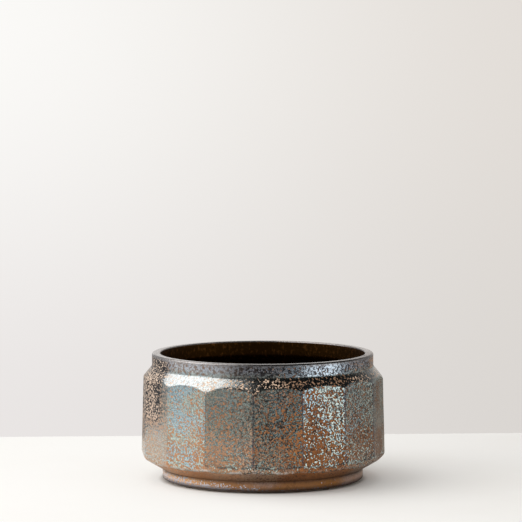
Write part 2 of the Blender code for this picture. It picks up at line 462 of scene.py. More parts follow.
def body_paths():
    """Outer section from the top of the rim to under the foot, and inner section from there back up."""
    collar_top = Vector((COLLAR_RADIUS, HEIGHT))
    collar_foot = Vector((COLLAR_RADIUS, COLLAR_FOOT))
    shoulder_edge = Vector((BODY_RADIUS - WALL_LEAN, SHOULDER_LEVEL))
    lower_edge = Vector((BODY_RADIUS, LOWER_EDGE_HEIGHT))
    crease = Vector((FOOT_RADIUS, FOOT_HEIGHT))
    ring_inside = FOOT_RADIUS - FOOT_RING_WIDTH
    rim_top = Vector((COLLAR_RADIUS - RIM_WALL / 2, HEIGHT))
    foot_middle = Vector((FOOT_RADIUS - FOOT_RING_WIDTH / 2, STAND))

    inner_collar = line_through(collar_top, collar_foot, RIM_WALL)
    inner_shoulder = line_through(collar_foot, shoulder_edge, SHOULDER_WALL)
    inner_wall = line_through(shoulder_edge, lower_edge, BODY_WALL)
    inner_underside = line_through(lower_edge, crease, UNDERSIDE_WALL)
    inner_floor = line_through((0.0, FLOOR_LEVEL), (BODY_RADIUS, FLOOR_LEVEL))

    outer = rounded_path([
        (rim_top, 0.0),
        (collar_top, RIM_EDGE),
        (collar_foot, COLLAR_CREASE),
        (shoulder_edge, SHOULDER_ROUND),
        (lower_edge, LOWER_ROUND),
        (crease, FOOT_CREASE),
        ((FOOT_RADIUS, STAND), FOOT_EDGE),
        (foot_middle, 0.0),
    ])
    inner = rounded_path([
        (foot_middle, 0.0),
        ((ring_inside, STAND), FOOT_EDGE),
        ((ring_inside - RECESS_DRAFT, RECESS_LEVEL), RECESS_ROUND),
        ((DRAIN_RADIUS, RECESS_LEVEL), DRAIN_EDGE),
        ((DRAIN_RADIUS, SEAT_LEVEL), DRAIN_EDGE),
        ((DISH_RADIUS, SEAT_LEVEL), DISH_EDGE),
        ((DISH_RADIUS + FLOOR_LEVEL - SEAT_LEVEL, FLOOR_LEVEL), DISH_EDGE),
        (meet(inner_underside, inner_floor), INNER_ROUND),
        (meet(inner_wall, inner_underside), INNER_ROUND),
        (meet(inner_shoulder, inner_wall), INNER_ROUND),
        (meet(inner_collar, inner_shoulder), NECK_ROUND),
        ((COLLAR_RADIUS - RIM_WALL, HEIGHT), RIM_INNER_EDGE),
        (rim_top, 0.0),
    ])
    return filled_in(outer, OUTER_STEP, finer_edge=True), filled_in(inner, INNER_STEP)


def corner_angle(index):
    """Angle of a corner between two flats, from -Y towards +X; the hand-cut flats drift a little."""
    even = math.tau * index / FACET_COUNT
    return even + CUT_DRIFT * math.sin(even)


def column_angles():
    """Angles of the mesh columns, closer together near the corners between flats."""
    ease = [math.sin(math.pi / 2 * (2 * i / COLUMNS_PER_FACET - 1)) for i in range(COLUMNS_PER_FACET)]
    angles = []
    for facet in range(FACET_COUNT):
        low, high = corner_angle(facet), corner_angle(facet + 1)
        angles += [(low + high) / 2 + (high - low) / 2 * e for e in ease]
    return np.array(angles)


def soft_min(a, b, softness):
    share = np.clip(0.5 + 0.5 * (b - a) / softness, 0.0, 1.0)
    return b + (a - b) * share - softness * share * (1.0 - share)


def cut_flats(radius, height, angle):
    """Radius after the cut, nearness of the corner between two flats, its distance, and share of flat."""
    lean = WALL_LEAN / (SHOULDER_LEVEL - LOWER_EDGE_HEIGHT)
    turned = BODY_RADIUS - lean * (height - LOWER_EDGE_HEIGHT)
    planes = []
    for facet in range(FACET_COUNT):
        low, high = corner_angle(facet), corner_angle(facet + 1)
        half, turn = (high - low) / 2, angle - (low + high) / 2
        hollow = HOLLOW * np.clip(1.0 - (np.tan(turn) / math.tan(half)) ** 2, 0.0, 1.0)
        depth = (turned + CORNER_PROUD) * math.cos(half) - hollow
        cosine = np.cos(turn)
        reach = depth / np.maximum(cosine, NEAR_COSINE)
        planes.append(np.where(cosine > NEAR_COSINE, reach, FAR_RADIUS))
    planes = np.sort(np.array(planes), axis=0)[:2]
    flats = soft_min(planes[0], planes[1], EDGE_SOFTNESS)
    cut = soft_min(radius, flats, EDGE_SOFTNESS)
    gap = planes[1] - planes[0]
    on_flat = np.clip((radius - flats) / EDGE_SOFTNESS + FLAT_SOFTEN, 0.0, 1.0)
    corner = np.exp(-(gap / CORNER_REACH) ** 2) * on_flat
    return cut, corner, gap / CORNER_SLOPE, on_flat


def slid_edge(radius, height, angle):
    """Section moved along the underside where the flats are cut, so that their lower edge stays round."""
    slope = (LOWER_EDGE_HEIGHT - FOOT_HEIGHT) / (BODY_RADIUS - FOOT_RADIUS)
    level = np.full_like(angle, LOWER_EDGE_HEIGHT)
    depth = BODY_RADIUS - cut_flats(np.full_like(angle, BODY_RADIUS), level, angle)[0]
    fall = np.clip((SLIDE_TOP - height) / (SLIDE_TOP - ROUND_TOP), 0.0, 1.0)
    crease = FOOT_RADIUS + FOOT_CREASE
    slide = np.clip((radius - crease) / (ROUND_BOTTOM_RADIUS - crease), 0.0, 1.0)
    slide = np.where(height > ROUND_TOP, fall, np.where(height > FOOT_HEIGHT, slide, 0.0))
    below = height <= ROUND_TOP
    return np.where(below, radius - depth * slide, radius), height - slope * depth * slide, below


def sagged(height, angle):
    """Heights after the shoulder's edge has sagged on one side."""
    turn = (angle - SAG_ANGLE + math.pi) % math.tau - math.pi
    reach = np.interp(height, [SHOULDER_LEVEL - SAG_REACH, SHOULDER_LEVEL, COLLAR_FOOT], [0.0, 1.0, 0.0])
    return height - SAG * np.exp(-(turn / SAG_WIDTH) ** 2) * reach


def waves(places):
    """Slow unevenness of a hand-finished wall."""
    return np.array([noise.noise(Vector(p) * WAVE_SCALE) for p in places])


def ring_faces(rows, columns, closed=False):
    """Quads between rings of points, and from the last ring to the first where the section is closed."""
    index = np.arange(rows * columns).reshape(rows, columns)
    faces = []
    for row in range(rows if closed else rows - 1):
        here, below = index[row], index[(row + 1) % rows]
        faces.append(np.stack([here, below, np.roll(below, -1), np.roll(here, -1)], axis=1))
    return np.concatenate(faces).tolist()


def tube_mesh(name, rings):
    """Mesh of a closed section turned about Z; rings is an array of (row, column, xyz)."""
    rows, columns, _ = rings.shape
    mesh = bpy.data.meshes.new(name)
    mesh.from_pydata(rings.reshape(-1, 3).tolist(), [], ring_faces(rows, columns, True))
    mesh.shade_smooth()
    return mesh


def unroll(mesh, path, angles):
    """UV map of a ring mesh that is closed both ways: round the axis, and along the section."""
    around = np.append(angles, angles[0] + math.tau) / math.tau
    closed = np.vstack([path, path[:1]])
    along = np.concatenate([[0.0], np.cumsum(np.linalg.norm(np.diff(closed, axis=0), axis=1))])
    along /= along[-1]
    u, v = np.meshgrid(around, along)
    grid = np.stack([u, v], axis=2)
    places = np.stack([grid[:-1, :-1], grid[1:, :-1], grid[1:, 1:], grid[:-1, 1:]], axis=2)
    layer = mesh.uv_layers.new(name="OFBake")
    layer.data.foreach_set("uv", places.astype(np.float32).ravel())


def turned_mesh(name, path, columns, shape):
    """Closed mesh of a section turned about Z from the axis back to the axis; shape moves its points."""
    angles = np.arange(columns) * math.tau / columns
    points = np.array([tuple(p) for p in path])
    radius, angle = np.meshgrid(points[1:-1, 0], angles, indexing="ij")
    height, _ = np.meshgrid(points[1:-1, 1], angles, indexing="ij")
    rings = shape(radius, height, angle)
    poles = shape(np.zeros((2, 1)), points[[0, -1], 1:], np.zeros((2, 1)))
    count = len(rings) * columns
    top = [(count, i, (i + 1) % columns) for i in range(columns)]
    last = count - columns
    bottom = [(count + 1, last + (i + 1) % columns, last + i) for i in range(columns)]
    vertices = np.concatenate([rings.reshape(-1, 3), poles.reshape(-1, 3)])
    mesh = bpy.data.meshes.new(name)
    mesh.from_pydata(vertices.tolist(), [], ring_faces(len(rings), columns) + top + bottom)
    mesh.shade_smooth()
    return mesh


def add_attribute(mesh, name, values):
    layer = mesh.attributes.new(name, "FLOAT", "POINT")
    layer.data.foreach_set("value", np.asarray(values, dtype=np.float32).ravel())


def add_object(name, mesh, material):
    obj = bpy.data.objects.new(name, mesh)
    bpy.context.scene.collection.objects.link(obj)
    mesh.materials.append(material)
    return obj


def ramp(value, start, end):
    """0 at start, 1 at end and straight between; end may lie below start."""
    return np.clip((value - start) / (end - start), 0.0, 1.0)


def hump(value, middle, width):
    """1 at the middle, fading to 0 on both sides."""
    return np.exp(-((value - middle) / width) ** 2)


def facing(angle, middle):
    """1 at an angle round the pot, falling to 0 on its far side."""
    return 0.5 + 0.5 * np.cos(angle - middle)


def round_axis(radius, height, angle):
    """Places about Z, with angle 0 at -Y."""
    return np.stack([radius * np.sin(angle), -radius * np.cos(angle), height], axis=2)


class BodyGrid:
    """Points of the body, in rows along its section and columns round its axis."""

    def __init__(self):
        outer, inner = body_paths()
        self.path = np.array([tuple(p) for p in outer + inner[1:-1]])
        self.angles = column_angles()
        columns = len(self.angles)
        self.turned = np.repeat(self.path[:, :1], columns, axis=1)
        self.height = np.repeat(self.path[:, 1:], columns, axis=1)
        self.angle = np.repeat(self.angles[None, :], len(self.path), axis=0)
        is_outer = np.arange(len(self.path)) < len(outer)
        self.outside = np.repeat(is_outer[:, None], columns, axis=1)
        self.cut()

    def cut(self):
        """Cut the flats, and let the shoulder's edge sag."""
        slid_radius, slid_height, self.below = slid_edge(self.turned, self.height, self.angle)
        slid_height = sagged(slid_height, self.angle)
        flats = cut_flats(self.turned, slid_height, self.angle)
        cut_radius, corner, self.corner_distance, self.on_flat = flats
        self.radius = np.where(self.outside, np.where(self.below, slid_radius, cut_radius), self.turned)
        self.real_height = np.where(self.outside, slid_height, self.height)
        self.corner = np.where(self.outside & ~self.below, corner, 0.0)

    def rings(self):
        """Places of the points, with a slow wave in the wall."""
        still = round_axis(self.radius, self.real_height, self.angle)
        move = WAVINESS * waves(still.reshape(-1, 3)).reshape(self.radius.shape)
        fade = ramp(self.height, FOOT_HEIGHT, FOOT_HEIGHT + WAVE_FOOT_FADE)
        fade *= ramp(self.height, HEIGHT, HEIGHT - WAVE_RIM_FADE)
        return round_axis(self.radius + move * fade, self.real_height, self.angle)


def cusp_zone(grid):
    """Points of bare ground that rise from the lower edge at each corner between flats."""
    above_edge = np.clip((grid.height - LOWER_EDGE_HEIGHT) / CUSP_HEIGHT, -0.5, 1.0)
    cusp = np.clip(2.0 * (1.0 - np.abs(above_edge)) - 2.0 * grid.corner_distance / CUSP_WIDTH, 0.0, 1.0)
    return cusp * (np.abs(grid.height - LOWER_EDGE_HEIGHT) < CUSP_HEIGHT) * grid.outside


def fire_side(grid, flame):
    """Nearness of the side that faced the fire, which changes mostly from flat to flat."""
    middles = [(corner_angle(i) + corner_angle(i + 1)) / 2 for i in range(FACET_COUNT)]
    flat_flame = facing(np.repeat(middles, COLUMNS_PER_FACET), FLAME_ANGLE)
    return flame + FLAT_STEP * grid.on_flat * grid.outside * (flat_flame - flame)


def metal_shift(grid, flame, cusp, char, right_end):
    """What is added to the noise that parts metal from ground: by height, and more or less in each zone."""
    height = grid.height
    levels, shifts = zip(*GLAZE_LEVELS)
    foot = ramp(height, FOOT_HEIGHT + FOOT_FADE, FOOT_HEIGHT)
    on_wall = (height > LOWER_EDGE_HEIGHT) & (height < SHOULDER_LEVEL)
    on_shoulder = (height > SHOULDER_LEVEL) & (height < COLLAR_FOOT)
    under_shoulder = height < SHOULDER_LEVEL
    weighted_zones = [
        (-0.25, cusp),
        (-0.02, flame),
        (-0.12, foot * flame ** 6),
        (0.07, (1.0 - flame) * under_shoulder),
        (0.005, flame * on_shoulder),
        (0.12, (1.0 - flame) * on_shoulder),
        (0.05, foot * (1.0 - flame ** 2)),
        (-0.04, flame ** 24 * under_shoulder),
        (0.05, facing(grid.angle, METAL_ANGLE) ** 40 * on_wall),
        (-0.08, right_end * on_wall),
        (-0.14, right_end * (height > COLLAR_FOOT)),
        (-0.15, right_end * foot),
        (-0.045, char),
        (-0.06, char * (height > SHOULDER_LEVEL)),
    ]
    return np.interp(height, levels, shifts) + sum(weight * zone for weight, zone in weighted_zones)


def shade_zone(grid, flame):
    """Painted shade under the lower edge, most at the foot and on the fire side."""
    under = (grid.height > FOOT_HEIGHT) & (grid.height < LOWER_EDGE_HEIGHT) & grid.below & grid.outside
    fall = 1.0 - 0.5 * ramp(grid.height, FOOT_HEIGHT, SHADE_TOP)
    return under * fall * np.interp(flame, [0.60, 0.80], [0.45, 1.0])


def glaze_zones(grid):
    """How much of each look of the glaze, and of the painted light and shade, every point has, from 0 to 1;
    "glaze" shifts the share of metal.
    """
    height, outside = grid.height, grid.outside
    turn = (grid.angle + math.pi) % math.tau - math.pi
    flame = facing(grid.angle, FLAME_ANGLE)
    right_end = facing(grid.angle, RIGHT_END_ANGLE) ** 24
    cusp = cusp_zone(grid)
    rim = ramp(height, HEIGHT - RIM_ZONE, HEIGHT - RIM_FULL)
    char = ramp(flame, DARK_REFLECTION_SIDE, DARK_REFLECTION_SIDE - DARK_REFLECTION_FADE) * ramp(height, DARK_REFLECTION_BOTTOM, DARK_REFLECTION_TOP)
    char *= outside * (1.0 - rim)
    dark_dash = hump(height, ROUND_TOP + DASH_RISE, DASH_SPREAD) * (1.0 - cusp) * outside
    crease_shade = np.exp(-((grid.radius - FOOT_RADIUS) ** 2 + (height - FOOT_HEIGHT) ** 2) / CREASE_SHADE_REACH ** 2)
    ledge = hump(height, LOWER_EDGE_HEIGHT - LEDGE_DROP, LEDGE_SPREAD) * outside
    unglazed = ~outside & (height < SEAT_LEVEL - DRAIN_EDGE)
    return {
        "glaze": metal_shift(grid, flame, cusp, char, right_end),
        "corner": grid.corner * (1.0 - cusp),
        "fire_side": fire_side(grid, flame),
        "inside": ~outside * ramp(height, HEIGHT - LINING_START, HEIGHT - LINING_FULL),
        "slope": (1.0 - grid.on_flat) * (height > SHOULDER_LEVEL - SAG_REACH) * outside,
        "right_end": right_end,
        "rim": rim,
        "char": char,
        "roll": ramp(height, STAND + FOOT_BAND_TOP, STAND + FOOT_BAND_FULL) * outside,
        "dark_dash": dark_dash * (0.4 + 0.6 * hump(turn, DASH_ANGLE, DASH_WIDTH)),
        "crease_shade": crease_shade * outside,
        "shade": shade_zone(grid, flame),
        "ledge": ledge * (0.3 + 0.7 * ramp(turn, LEDGE_END, LEDGE_FULL)),
        "bare": np.maximum(ramp(height, STAND + BARE_TOP, STAND + BARE_FULL), unglazed),
    }


def make_body():
    grid = BodyGrid()
    mesh = tube_mesh("glazed_body", grid.rings())
    unroll(mesh, grid.path, grid.angles)
    for name, values in glaze_zones(grid).items():
        add_attribute(mesh, name, values)
    body = add_object("glazed_body", mesh, glaze_material())
    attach(body, "pot")
    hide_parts("planter_body")


def glaze_fields(nodes):
    """Zones of the glaze and the noises that several of its looks share, as named sockets."""
    field = SimpleNamespace()
    field.place = nodes.add("TexCoord", {}).outputs["Object"]
    field.bent = nodes.warped(field.place, 120.0, 0.003)
    field.height = nodes.add("SeparateXYZ", {0: field.place}).outputs["Z"]
    field.flame = nodes.attribute("fire_side")
    field.coarse = nodes.fade(field.flame, 0.80, 0.97)
    field.fine = nodes.noise(field.bent, 460.0, 1.0)
    field.grain = nodes.noise(field.place, 680.0, 1.0)
    field.drips = nodes.noise(nodes.stretched(field.place, (1.0, 1.0, 0.45)), 27.0, 3.0)
    field.above = nodes.fade(field.height, COLLAR_FOOT - 0.001, COLLAR_FOOT + 0.002)
    field.low = nodes.fade(field.height, FOOT_HEIGHT - 0.003, FOOT_HEIGHT + 0.001, 1.0, 0.0)
    under_collar = nodes.fade(field.height, COLLAR_FOOT - 0.002, COLLAR_FOOT + 0.001, 1.0, 0.2)
    field.sloped = nodes.times(nodes.attribute("slope"), under_collar)
    dither = nodes.math("MULTIPLY_ADD", field.fine, 1.6, -0.8)
    field.char = nodes.fade(nodes.plus(nodes.attribute("char"), dither), 0.30, 0.70)
    field.right_end = nodes.attribute("right_end")
    return field


def glaze_speckle(nodes, field):
    """Pattern of the worms: fine on most flats, coarse on the fire side, the shoulder and the upper far left,
    where the metal is painted as a dark reflection.
    """
    middle = nodes.noise(field.bent, 140.0, 1.0)
    mixed = nodes.between(nodes.fade(field.flame, 0.45, 0.62, 0.06, 0.14), field.fine, middle)
    grains = nodes.add("TexVoronoi", {"Vector": field.bent, "Scale": 400.0}).outputs["Distance"]
    grains = nodes.math("MULTIPLY_ADD", grains, -0.60, 0.80)
    broad = nodes.between(0.5, nodes.noise(field.bent, 430.0, 0.0), grains)
    spotted = nodes.larger(field.coarse, nodes.larger(field.sloped, field.char))
    speckle = nodes.between(spotted, mixed, broad)
    patch = nodes.math("MULTIPLY_ADD", field.drips, 0.20, -0.10)
    level = nodes.plus(nodes.plus(speckle, patch), nodes.attribute("glaze"))
    gain = nodes.fade(spotted, 0.0, 1.0, 30.0, 60.0)
    return nodes.times(nodes.math("SUBTRACT", level, 0.505), gain)


def add_metal(nodes, field):
    """Worms of metal with dark outlines and pits, and a thin veil of metal over the ground."""
    edge = glaze_speckle(nodes, field)
    field.solid = nodes.fade(edge, -0.5, 0.5)
    field.outline = nodes.math("SUBTRACT", nodes.fade(edge, -3.8, -0.8), field.solid)
    cluster = nodes.fade(nodes.noise(field.place, 44.0, 2.0), 0.40, 0.60, 0.4, 1.0)
    field.pits = nodes.times(nodes.fade(nodes.noise(field.bent, 390.0, 1.0), 0.54, 0.60), cluster)
    hazy = nodes.times(
        nodes.fade(field.flame, 0.72, 0.80, 0.0, 0.85),
        nodes.fade(field.flame, 0.95, 0.98, 1.0, 0.0),
        nodes.fade(field.height, 0.05, 0.10, 0.8, 1.0),
    )
    misty = nodes.fade(nodes.noise(field.place, 24.0, 2.0), 0.46, 0.60, 0.10, 0.42)
    thick = nodes.plus(nodes.fade(field.flame, 0.50, 0.60, 0.6, 0.15), hazy)
    veil = nodes.times(misty, thick, nodes.rest(nodes.larger(field.sloped, field.char)))
    field.metal = nodes.larger(field.solid, veil)


def steel_colour(nodes, field):
    """Colour of the metal: blue and green greys; silver on the shoulder's left; painted reflections: black on
    the shoulder's centre and right and on the upper far left, pale blue in the collar's bright patch on the
    right.
    """
    tint = nodes.noise(field.place, 38.0, 2.0)
    other_tint = nodes.noise(nodes.stretched(field.place, (1.0, 1.0, 0.6)), 21.0, 2.0)
    steel = nodes.blend(nodes.fade(tint, 0.34, 0.56), BLUE_STEEL, GREEN_STEEL)
    steel = nodes.blend(nodes.fade(field.flame, 0.48, 0.60, 0.6, 0.0), steel, WARM_STEEL)
    front = nodes.fade(field.flame, 0.70, 0.80, 0.0, 0.6)
    front = nodes.times(front, nodes.fade(field.flame, 0.955, 0.98, 1.0, 0.0))
    steel = nodes.blend(front, steel, SAGE_STEEL)
    steel = nodes.blend(nodes.times(nodes.fade(other_tint, 0.58, 0.74), field.above), steel, LILAC_STEEL)
    flecks = nodes.fade(nodes.noise(field.place, 640.0, 1.0), 0.47, 0.58, 0.0, 0.85)
    flecks = nodes.times(flecks, nodes.fade(field.coarse, 0.0, 0.6, 0.35, 1.0))
    steel = nodes.blend(flecks, steel, FLECK_BLUE)
    collar = nodes.fade(field.height, COLLAR_FOOT - 0.001, COLLAR_FOOT + 0.009)
    steel = nodes.blend(nodes.times(collar, 0.6), steel, COLLAR_STEEL)
    # painted reflection: brighter, bluer metal where the collar mirrors the right card
    collar_reflection = nodes.times(nodes.fade(field.flame, 0.96, 0.99), field.above)
    steel = nodes.blend(nodes.times(collar_reflection, 0.8), steel, COLLAR_REFLECTION_STEEL)
    mottle = nodes.fade(nodes.noise(field.bent, 300.0, 2.0), 0.50, 0.58, 0.0, 0.9)
    spot = nodes.blend(field.coarse, SPOT_BROWN, SPOT_BLACK)
    steel = nodes.blend(nodes.times(mottle, field.above), steel, spot)
    # shoulder metal: silver on the left, black towards the centre and right as a painted dark reflection
    slope_metal = nodes.blend(field.coarse, SLOPE_SILVER, SLOPE_DARK_REFLECTION)
    steel = nodes.blend(nodes.times(field.sloped, 0.8), steel, slope_metal)
    steel = nodes.blend(nodes.times(field.low, 0.8), steel, FOOT_STEEL)
    # painted dark reflection on the upper far left
    return nodes.blend(nodes.times(field.char, 0.9), steel, DARK_REFLECTION_BLACK)


def ground_colour(nodes, field):
    """Colour of the matt ground: orange browns, with painted light: peach on the lit left, the lower flats
    and the shoulder, bronze on the left of the foot, a grey sheen on the far left; painted shade on the right
    end.
    """
    brown = nodes.blend(nodes.fade(field.drips, 0.35, 0.65), DEEP_BROWN, LIGHT_BROWN)
    grainy = nodes.fade(field.grain, 0.46, 0.62, 0.0, 0.75)
    grainy = nodes.times(grainy, nodes.fade(field.coarse, 0.0, 0.6, 0.3, 1.0))
    brown = nodes.blend(grainy, brown, GRAIN_BROWN)
    # painted light: peach ground on the left, which faces the lamps
    brown = nodes.blend(nodes.fade(field.flame, 0.45, 0.97, 0.75, 0.0), brown, LIT_PEACH_BROWN)
    # painted light: more peach on the lower flats where the fire side is middling, most left of the front
    front = nodes.times(
        nodes.fade(field.flame, 0.72, 0.80),
        nodes.fade(field.flame, 0.88, 0.94, 0.55, 0.0),
        nodes.fade(field.height, 0.06, 0.10, 1.0, 0.3),
    )
    brown = nodes.blend(front, brown, LIT_PEACH_BROWN)
    # painted sheen: greyer ground on the far left, which faces the bright window
    brown = nodes.blend(nodes.fade(field.flame, 0.48, 0.58, 0.5, 0.0), brown, SHEEN_GREY_BROWN)
    # painted shade: darker ground on the right end, away from the lamps
    brown = nodes.blend(nodes.times(field.right_end, 0.9), brown, RIGHT_SHADE_BROWN)
    collar_brown = nodes.blend(field.right_end, COLLAR_BROWN, COLLAR_PEACH)
    brown = nodes.blend(field.above, brown, collar_brown)
    # painted light: pale peach ground on the shoulder, rust towards the right where less light falls
    peach = nodes.blend(nodes.fade(field.flame, 0.955, 0.985), SLOPE_LIT_PEACH, SLOPE_RUST)
    brown = nodes.blend(nodes.times(field.sloped, 0.85), brown, peach)
    # painted light: pale ground on the upper far left
    brown = nodes.blend(nodes.times(field.char, 0.8), brown, LEFT_LIT_PEACH)
    # painted light: brighter bronze ground on the left of the foot, where the lamps shine
    bronze = nodes.blend(nodes.fade(field.flame, 0.60, 0.85), FOOT_LIT_BRONZE, FOOT_BROWN)
    brown = nodes.blend(nodes.times(field.low, 0.8), brown, bronze)
    # paler ground along the lower edge: partly thin glaze, partly painted highlight
    return nodes.blend(nodes.times(field.lip_zone, 0.6), brown, LIP_PEACH)


def add_lip(nodes, field):
    """Painted highlight: a broken pale line along the lower edge of the flats, over a paler band of ground.
    """
    long_noise = nodes.noise(nodes.stretched(field.bent, (1.0, 1.0, 0.4)), 150.0, 1.0)
    lip_side = nodes.fade(field.flame, 0.60, 0.78, 0.3, 1.0)
    field.lip_zone = nodes.times(nodes.attribute("ledge"), lip_side)
    field.lip = nodes.times(field.lip_zone, nodes.fade(long_noise, 0.46, 0.52))


def with_dark_marks(nodes, field, colour):
    """The colour with dark outlines and pits, painted shade and dark reflection along the corners, dark
    dashes above the lower edge, and painted shade in the foot's crease and under the lower edge.
    """
    dark = nodes.larger(nodes.times(field.outline, 0.9), nodes.times(field.pits, 0.85))
    dark = nodes.times(dark, nodes.fade(field.coarse, 0.0, 0.5, 0.36, 1.0))
    dark = nodes.times(dark, nodes.math("MULTIPLY_ADD", field.low, -0.7, 1.0))
    colour = nodes.blend(dark, colour, OUTLINE_BLACK)
    # painted shade and dark reflection along the corners between flats, patchy, stronger on the fire side
    patchy = nodes.noise(nodes.stretched(field.bent, (1.0, 1.0, 0.5)), 150.0, 2.0)
    corner_shade = nodes.fade(patchy, 0.36, 0.56, 0.25, 0.95)
    corner_shade = nodes.times(corner_shade, nodes.fade(field.flame, 0.74, 0.90, 0.25, 1.0))
    colour = nodes.blend(nodes.times(nodes.attribute("corner"), corner_shade), colour, CORNER_SHADE_BLUE)
    # dark dashes just above the lower edge of the flats, most at the front
    dash_mask = nodes.fade(nodes.noise(nodes.stretched(field.bent, (1.0, 1.0, 2.2)), 105.0, 2.0), 0.40, 0.50)
    dash_mask = nodes.times(dash_mask, nodes.fade(field.flame, 0.70, 0.80))
    colour = nodes.blend(nodes.times(nodes.attribute("dark_dash"), dash_mask, 0.9), colour, DASH_BLACK)
    # painted shade in the crease where the underside meets the foot
    colour = nodes.blend(nodes.times(nodes.attribute("crease_shade"), 0.7), colour, CREASE_SHADE_BROWN)
    # painted shade on the underside below the flats
    return nodes.blend(nodes.times(nodes.attribute("shade"), 0.6), colour, SHADE_BROWN)


def with_rim_and_inside(nodes, field, colour):
    """The colour with the rim, painted lighter on the left; a darker band at the bottom of the foot; the
    lining, dark partly as painted shade; and bare clay.
    """
    field.rim = nodes.attribute("rim")
    field.roll = nodes.attribute("roll")
    field.inside = nodes.attribute("inside")
    field.bare = nodes.attribute("bare")
    # painted light: paler rim on the left, grey on the right
    rim_colour = nodes.blend(nodes.fade(field.flame, 0.66, 0.90), RIM_LIT_PALE, RIM_GREY)
    colour = nodes.blend(nodes.times(field.rim, 0.8), colour, rim_colour)
    # darker towards the bottom of the foot
    colour = nodes.blend(nodes.times(field.roll, 0.9), colour, FOOT_BAND_BLACK)
    # lining: partly the inner glaze's own dark brown, partly painted shade inside the pot
    streak = nodes.noise(nodes.stretched(field.bent, (1.0, 1.0, 0.6)), 330.0, 3.0)
    lining = nodes.blend(nodes.fade(streak, 0.52, 0.68), LINING_BROWN, LINING_STREAK)
    colour = nodes.blend(field.inside, colour, lining)
    clay = nodes.blend(nodes.fade(field.grain, 0.4, 0.7), CLAY_PALE, CLAY_DARK)
    return nodes.blend(field.bare, colour, clay)


def glaze_shader(nodes, field, colour):
    """Shader that is metal in the worms, the rim and the lining, and matt elsewhere."""
    covered = nodes.larger(field.bare, field.roll)
    glazed = nodes.rest(nodes.times(covered, 0.9))
    # the painted highlight along the lower edge is matt, not metal
    glazed = nodes.times(glazed, nodes.math("MULTIPLY_ADD", field.lip, -0.85, 1.0))
    bright = nodes.larger(field.metal, nodes.times(field.rim, 0.85))
    metallic = nodes.times(nodes.larger(bright, field.inside), glazed)
    matt = nodes.math("MULTIPLY_ADD", field.sloped, -0.28, 0.70)
    roughness = nodes.between(bright, matt, 0.25)
    roughness = nodes.larger(roughness, nodes.times(field.inside, 0.5))
    roughness = nodes.larger(roughness, nodes.times(field.bare, 0.85))
    ripple = nodes.noise(field.place, 440.0, 1.0)
    relief = nodes.plus(nodes.times(field.solid, 0.25), ripple)
    bump = nodes.add("Bump", {"Height": relief, "Strength": 0.22, "Distance": 0.0008})
    return nodes.add("BsdfPrincipled", {
        "Base Color": colour,
        "Metallic": metallic,
        "Roughness": roughness,
        "IOR": 1.36,
        "Normal": bump.outputs["Normal"],
    })


def glaze_material():
    """Reactive glaze: steel-like worms of metal in a matt brown ground."""
    material, nodes = new_material("reactive_glaze")
    field = glaze_fields(nodes)
    add_metal(nodes, field)
    add_lip(nodes, field)
    colour = nodes.blend(field.metal, ground_colour(nodes, field), steel_colour(nodes, field))
    # painted highlight along the lower edge of the flats
    colour = nodes.blend(nodes.times(field.lip, 0.75), colour, LIP_HIGHLIGHT_WHITE)
    colour = with_dark_marks(nodes, field, colour)
    colour = with_rim_and_inside(nodes, field, colour)
    surface(nodes, glaze_shader(nodes, field, colour).outputs["BSDF"])
    return material


def stopper_path():
    """Section of the stopper from the top of its knob to its tip."""
    root = SHANK_RADIUS - RIB_DEPTH
    pitch = (SEAT_LEVEL - RECESS_LEVEL) / RIB_COUNT
    corners = [
        ((0.0, KNOB_TOP - KNOB_DIMPLE), 0.0),
        ((KNOB_DIMPLE_RADIUS, KNOB_TOP - KNOB_DIMPLE), KNOB_DIMPLE),
        ((KNOB_DIMPLE_RADIUS + KNOB_DIMPLE, KNOB_TOP), KNOB_DIMPLE),
        ((KNOB_RADIUS, KNOB_TOP), KNOB_EDGE),
        ((KNOB_RADIUS, KNOB_BASE), KNOB_EDGE),
        ((NECK_RADIUS, KNOB_BASE), NECK_FILLET),
        ((NECK_RADIUS, FLANGE_TOP), NECK_FILLET),
        ((FLANGE_RADIUS, FLANGE_TOP), FLANGE_EDGE),
        ((FLANGE_RADIUS, FLANGE_BASE), FLANGE_EDGE),
        ((root, FLANGE_BASE), RIB_EDGE),
    ]
    for rib in range(RIB_COUNT):
        corners.append(((SHANK_RADIUS, -pitch * rib - pitch / 4), RIB_EDGE))
        corners.append(((root, -pitch * (rib + 1)), RIB_EDGE))
    tip = RECESS_LEVEL - SEAT_LEVEL - TIP_LENGTH
    corners += [((root - TIP_TAPER, tip), RIB_EDGE), ((0.0, tip), 0.0)]
    return filled_in(rounded_path(corners), STOPPER_STEP)


def rubber_material():
    """Black rubber with a fine grain and a little pale dust."""
    material, nodes = new_material("black_rubber")
    place = nodes.add("TexCoord", {}).outputs["Object"]
    cloud = nodes.noise(place, 260.0, 4.0, 0.6)
    dust = nodes.noise(place, 900.0, 3.0, 0.6)
    grain = nodes.noise(place, 3200.0, 2.0)
    black = nodes.blend(nodes.fade(cloud, 0.35, 0.65), RUBBER_BLACK, RUBBER_GREY)
    colour = nodes.blend(nodes.fade(dust, 0.56, 0.74, 0.0, 0.5), black, RUBBER_DUST)
    roughness = nodes.fade(cloud, 0.3, 0.7, 0.46, 0.70)
    bump = nodes.add("Bump", {"Height": grain, "Strength": 0.35, "Distance": 0.0001})
    shader = nodes.add("BsdfPrincipled", {
        "Base Color": colour,
        "Roughness": roughness,
        "Normal": bump.outputs["Normal"],
    })
    surface(nodes, shader.outputs["BSDF"])
    return material


